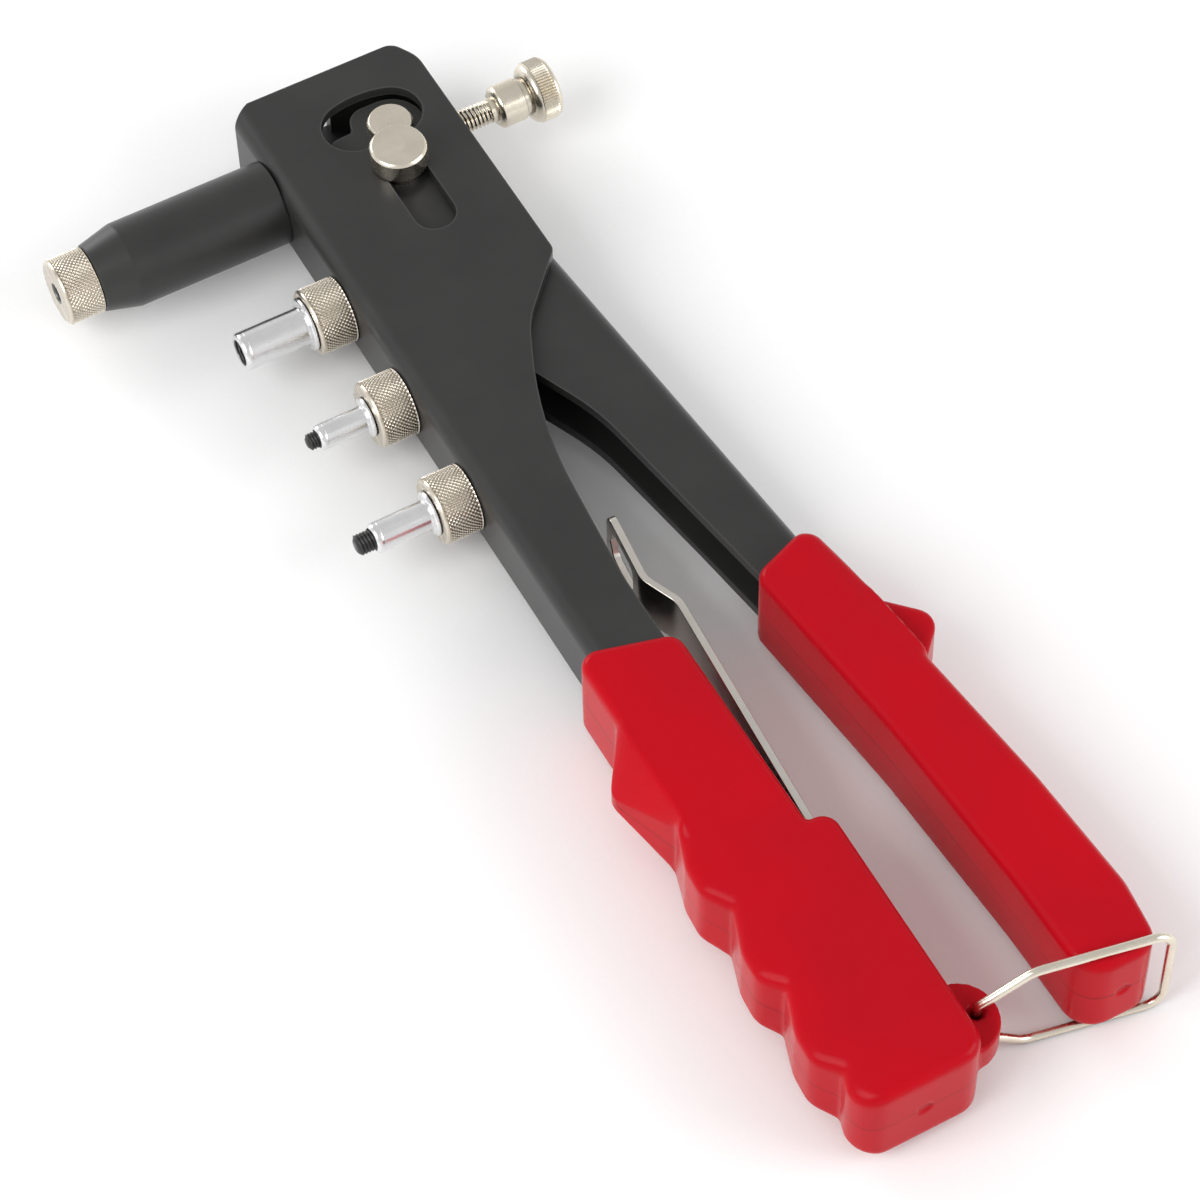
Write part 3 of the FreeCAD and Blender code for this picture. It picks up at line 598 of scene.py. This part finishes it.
def keep_flats_flat(mesh, large=8.0, limit=50.0):
    """Faces over large, in square mm, are shaded flat up to their broken edges, which bend to them."""
    around = {}
    for face in mesh.polygons:
        for vertex in face.vertices:
            around.setdefault(vertex, []).append(face.index)
    normals = [face.normal.copy() for face in mesh.polygons]
    areas = [face.area / MM / MM for face in mesh.polygons]
    least = math.cos(math.radians(limit))
    loops = [None] * len(mesh.loops)
    for face in mesh.polygons:
        own = normals[face.index]
        for loop, vertex in zip(face.loop_indices, face.vertices):
            near = [i for i in around[vertex] if normals[i].dot(own) > least]
            main = max(near, key=lambda i: areas[i])
            if areas[main] > large:
                loops[loop] = own if areas[face.index] > large else normals[main]
            else:
                total = sum((normals[i] * areas[i] for i in near), Vector((0, 0, 0)))
                loops[loop] = total.normalized() if total.length > 1e-9 else own
    mesh.normals_split_custom_set(loops)


def refined(node, look, bevel, crisp_angle=30.0):
    """A copy of a CAD node with its small edges broken, so that they catch the light."""
    mesh = frame["nodes"][node].data.copy()
    shape = bmesh.new()
    shape.from_mesh(mesh)
    bmesh.ops.remove_doubles(shape, verts=shape.verts, dist=2e-6)
    bmesh.ops.dissolve_limit(shape, angle_limit=math.radians(1.0), verts=shape.verts,
                             edges=shape.edges)
    crisp = [edge for edge in shape.edges
             if edge.is_manifold and edge.calc_face_angle(0) > math.radians(crisp_angle)]
    bmesh.ops.bevel(shape, geom=crisp, offset=bevel * MM, offset_type="OFFSET", segments=3,
                    profile=0.5, affect="EDGES", clamp_overlap=True)
    bmesh.ops.recalc_face_normals(shape, faces=shape.faces)
    shape.to_mesh(mesh)
    shape.free()
    put(node + "_finished", mesh, node, look, 40, weighted=False)
    keep_flats_flat(mesh)


# ---------------------------------------------------------------- moulded grips

def smooth_step(value, low, high):
    share = np.clip((value - low) / (high - low), 0, 1)
    return share * share * (3 - 2 * share)


def moulded(node, voxel, reshape):
    """Re-skins a CAD grip as one soft moulded surface, then reshape(points) works its forms."""
    mesh = frame["nodes"][node].data.copy()
    shape = bmesh.new()
    shape.from_mesh(mesh)
    bmesh.ops.remove_doubles(shape, verts=shape.verts, dist=2e-6)
    shape.to_mesh(mesh)
    shape.free()
    blank = bpy.data.objects.new(node + "_blank", mesh)
    bpy.context.scene.collection.objects.link(blank)
    skin = blank.modifiers.new("skin", "REMESH")
    skin.mode = "VOXEL"
    skin.voxel_size = voxel * MM
    soft = blank.modifiers.new("soft", "SMOOTH")
    soft.factor, soft.iterations = 0.5, 8
    evaluated = blank.evaluated_get(bpy.context.evaluated_depsgraph_get())
    final = bpy.data.meshes.new_from_object(evaluated)
    bpy.data.objects.remove(blank)
    points = np.zeros(len(final.vertices) * 3)
    final.vertices.foreach_get("co", points)
    points = reshape(points.reshape(-1, 3))
    final.vertices.foreach_set("co", points.ravel())
    final.update()
    put(node + "_moulded", final, node, "red_grip", 60)


def drawn(points):
    """The points in mm in the drawing axes, heights off the middle plane."""
    return points / MM - np.array(DRAWING_ZERO)


def dimple(points, across, depth, height):
    """Presses the small moulding dimple into a grip's flat end."""
    away = np.sqrt(across ** 2 + height ** 2)
    press = smooth_step(-away, -1.9, -1.1) * (np.abs(depth) < 0.8)
    points[:, 1] += press * 0.45 * MM


def reshape_fixed_grip(points):
    """Hones the guard down to an edge on the parting line and softens the finger side."""
    guard_root, guard_depth, guard_end, grip_end = -3.4, 7.6, -200.5, -275.8
    x, y, z = drawn(points).T
    guard = np.clip((guard_root - x) / guard_depth, 0, 1) * smooth_step(y, guard_end, guard_end + 4)
    fingers = smooth_step(-x, -1.5, 9.5) * smooth_step(-y, 199.0, 204.0)
    z = z * (1 - 0.86 * guard) * (1 - 0.20 * fingers)
    points[:, 2] = (z + DRAWING_ZERO.z) * MM
    dimple(points, x - 9.0, y - grip_end, z)
    return points


def reshape_lever_grip(points):
    """Lowers the bump on the outer side, so that the top face keeps its straight edge."""
    outer_side, slope, grip_top, grip_end = 57.1, 0.116, -146.6, -272.2
    x, y, z = drawn(points).T
    beyond = x - (outer_side - (y - grip_top) * slope)
    bump = smooth_step(beyond, 0.3, 2.0) * smooth_step(y, -191.5, -189.0) * smooth_step(
        -y, 160.0, 163.0)
    outer = smooth_step(beyond, -4.5, 0.2) * (1 - bump)
    z = z * (1 - 0.42 * bump - 0.05 * outer)
    points[:, 2] = (z + DRAWING_ZERO.z) * MM
    dimple(points, x - 58.0, y - grip_end, z)
    return points


# ---------------------------------------------------------------- studio

def make_world():
    """Plain studio surround: white below, a little darker overhead."""
    world = bpy.data.worlds.new("studio")
    world.use_nodes = True
    bpy.context.scene.world = world
    tree = world.node_tree
    background = tree.nodes["Background"]
    place = tree.nodes.new("ShaderNodeTexCoord").outputs["Generated"]
    height = tree.nodes.new("ShaderNodeSeparateXYZ")
    tree.links.new(place, height.inputs[0])
    ramp = tree.nodes.new("ShaderNodeValToRGB")
    tree.links.new(height.outputs["Z"], ramp.inputs[0])
    low, overhead = ramp.color_ramp.elements
    low.position, low.color = 0.0, (1, 1, 1, 1)
    overhead.position, overhead.color = 0.75, (0.74, 0.74, 0.74, 1)
    tree.links.new(ramp.outputs["Color"], background.inputs["Color"])
    background.inputs["Strength"].default_value = 0.85


def make_floor(half=3.0):
    """Pale paper floor that the tool lies on, half its side in metres."""
    mesh = bpy.data.meshes.new("floor")
    mesh.from_pydata([(-half, -half, 0), (half, -half, 0), (half, half, 0), (-half, half, 0)], [],
                     [(0, 1, 2, 3)])
    floor = bpy.data.objects.new("floor", mesh)
    bpy.context.scene.collection.objects.link(floor)
    paper = Nodes("pale_paper")
    grain = paper.noise(900, 3)
    paper.set(Base_Color=paper.mix(grain, (0.93, 0.93, 0.93), (0.90, 0.90, 0.90)), Roughness=0.7)
    paper.bumps((grain, 0.00005, 0.15))
    mesh.materials.append(paper.material)


def make_lights():
    """Three soft lights that aim at the tool: name, place and side in metres, power in watts."""
    for name, place, side, power in (("key", (-0.95, -0.15, 0.85), 0.8, 9.0),
                                     ("back", (-0.35, 1.15, 0.35), 0.6, 4.0),
                                     ("fill", (0.9, -0.75, 0.6), 0.8, 7.0)):
        data = bpy.data.lights.new(name, "AREA")
        data.size, data.energy = side, power
        light = bpy.data.objects.new(name, data)
        light.location = place
        light.rotation_euler = (-Vector(place)).to_track_quat("-Z", "Y").to_euler()
        bpy.context.scene.collection.objects.link(light)


def make_camera():
    """Looks down on the tool from its grip end and nose side, with a long lens."""
    data = bpy.data.cameras.new("camera")
    data.lens, data.sensor_width = 128.96, 36.0
    data.clip_start, data.clip_end = 0.05, 20.0
    camera = bpy.data.objects.new("camera", data)
    camera.location = (-0.24210, -0.47915, 0.77901)
    camera.rotation_euler = [math.radians(angle) for angle in (34.769, 0.901, -28.790)]
    bpy.context.scene.collection.objects.link(camera)
    bpy.context.scene.camera = camera


make_nosepiece("nosepiece", 8.9, 2.48)
for size in THREAD_RADIUS:
    make_nosepiece("spare_nosepiece_" + size, 9.1, THREAD_RADIUS[size])
    make_rivet_nut(size)
    make_spare_mandrel(size)
make_draw_rod()
make_mandrel()
make_knob_hub()
make_knob()
make_nose_tube()
make_pivot_pin()
make_pull_pins()
make_bail()
for node, look, bevel in PRESSED_AND_MILLED:
    refined(node, look, bevel)
moulded("fixed_grip", 0.52, reshape_fixed_grip)
moulded("lever_grip", 0.45, reshape_lever_grip)
bpy.context.scene.view_settings.view_transform = "Standard"
bpy.context.scene.view_settings.look = "None"
make_world()
make_floor()
make_lights()
make_camera()
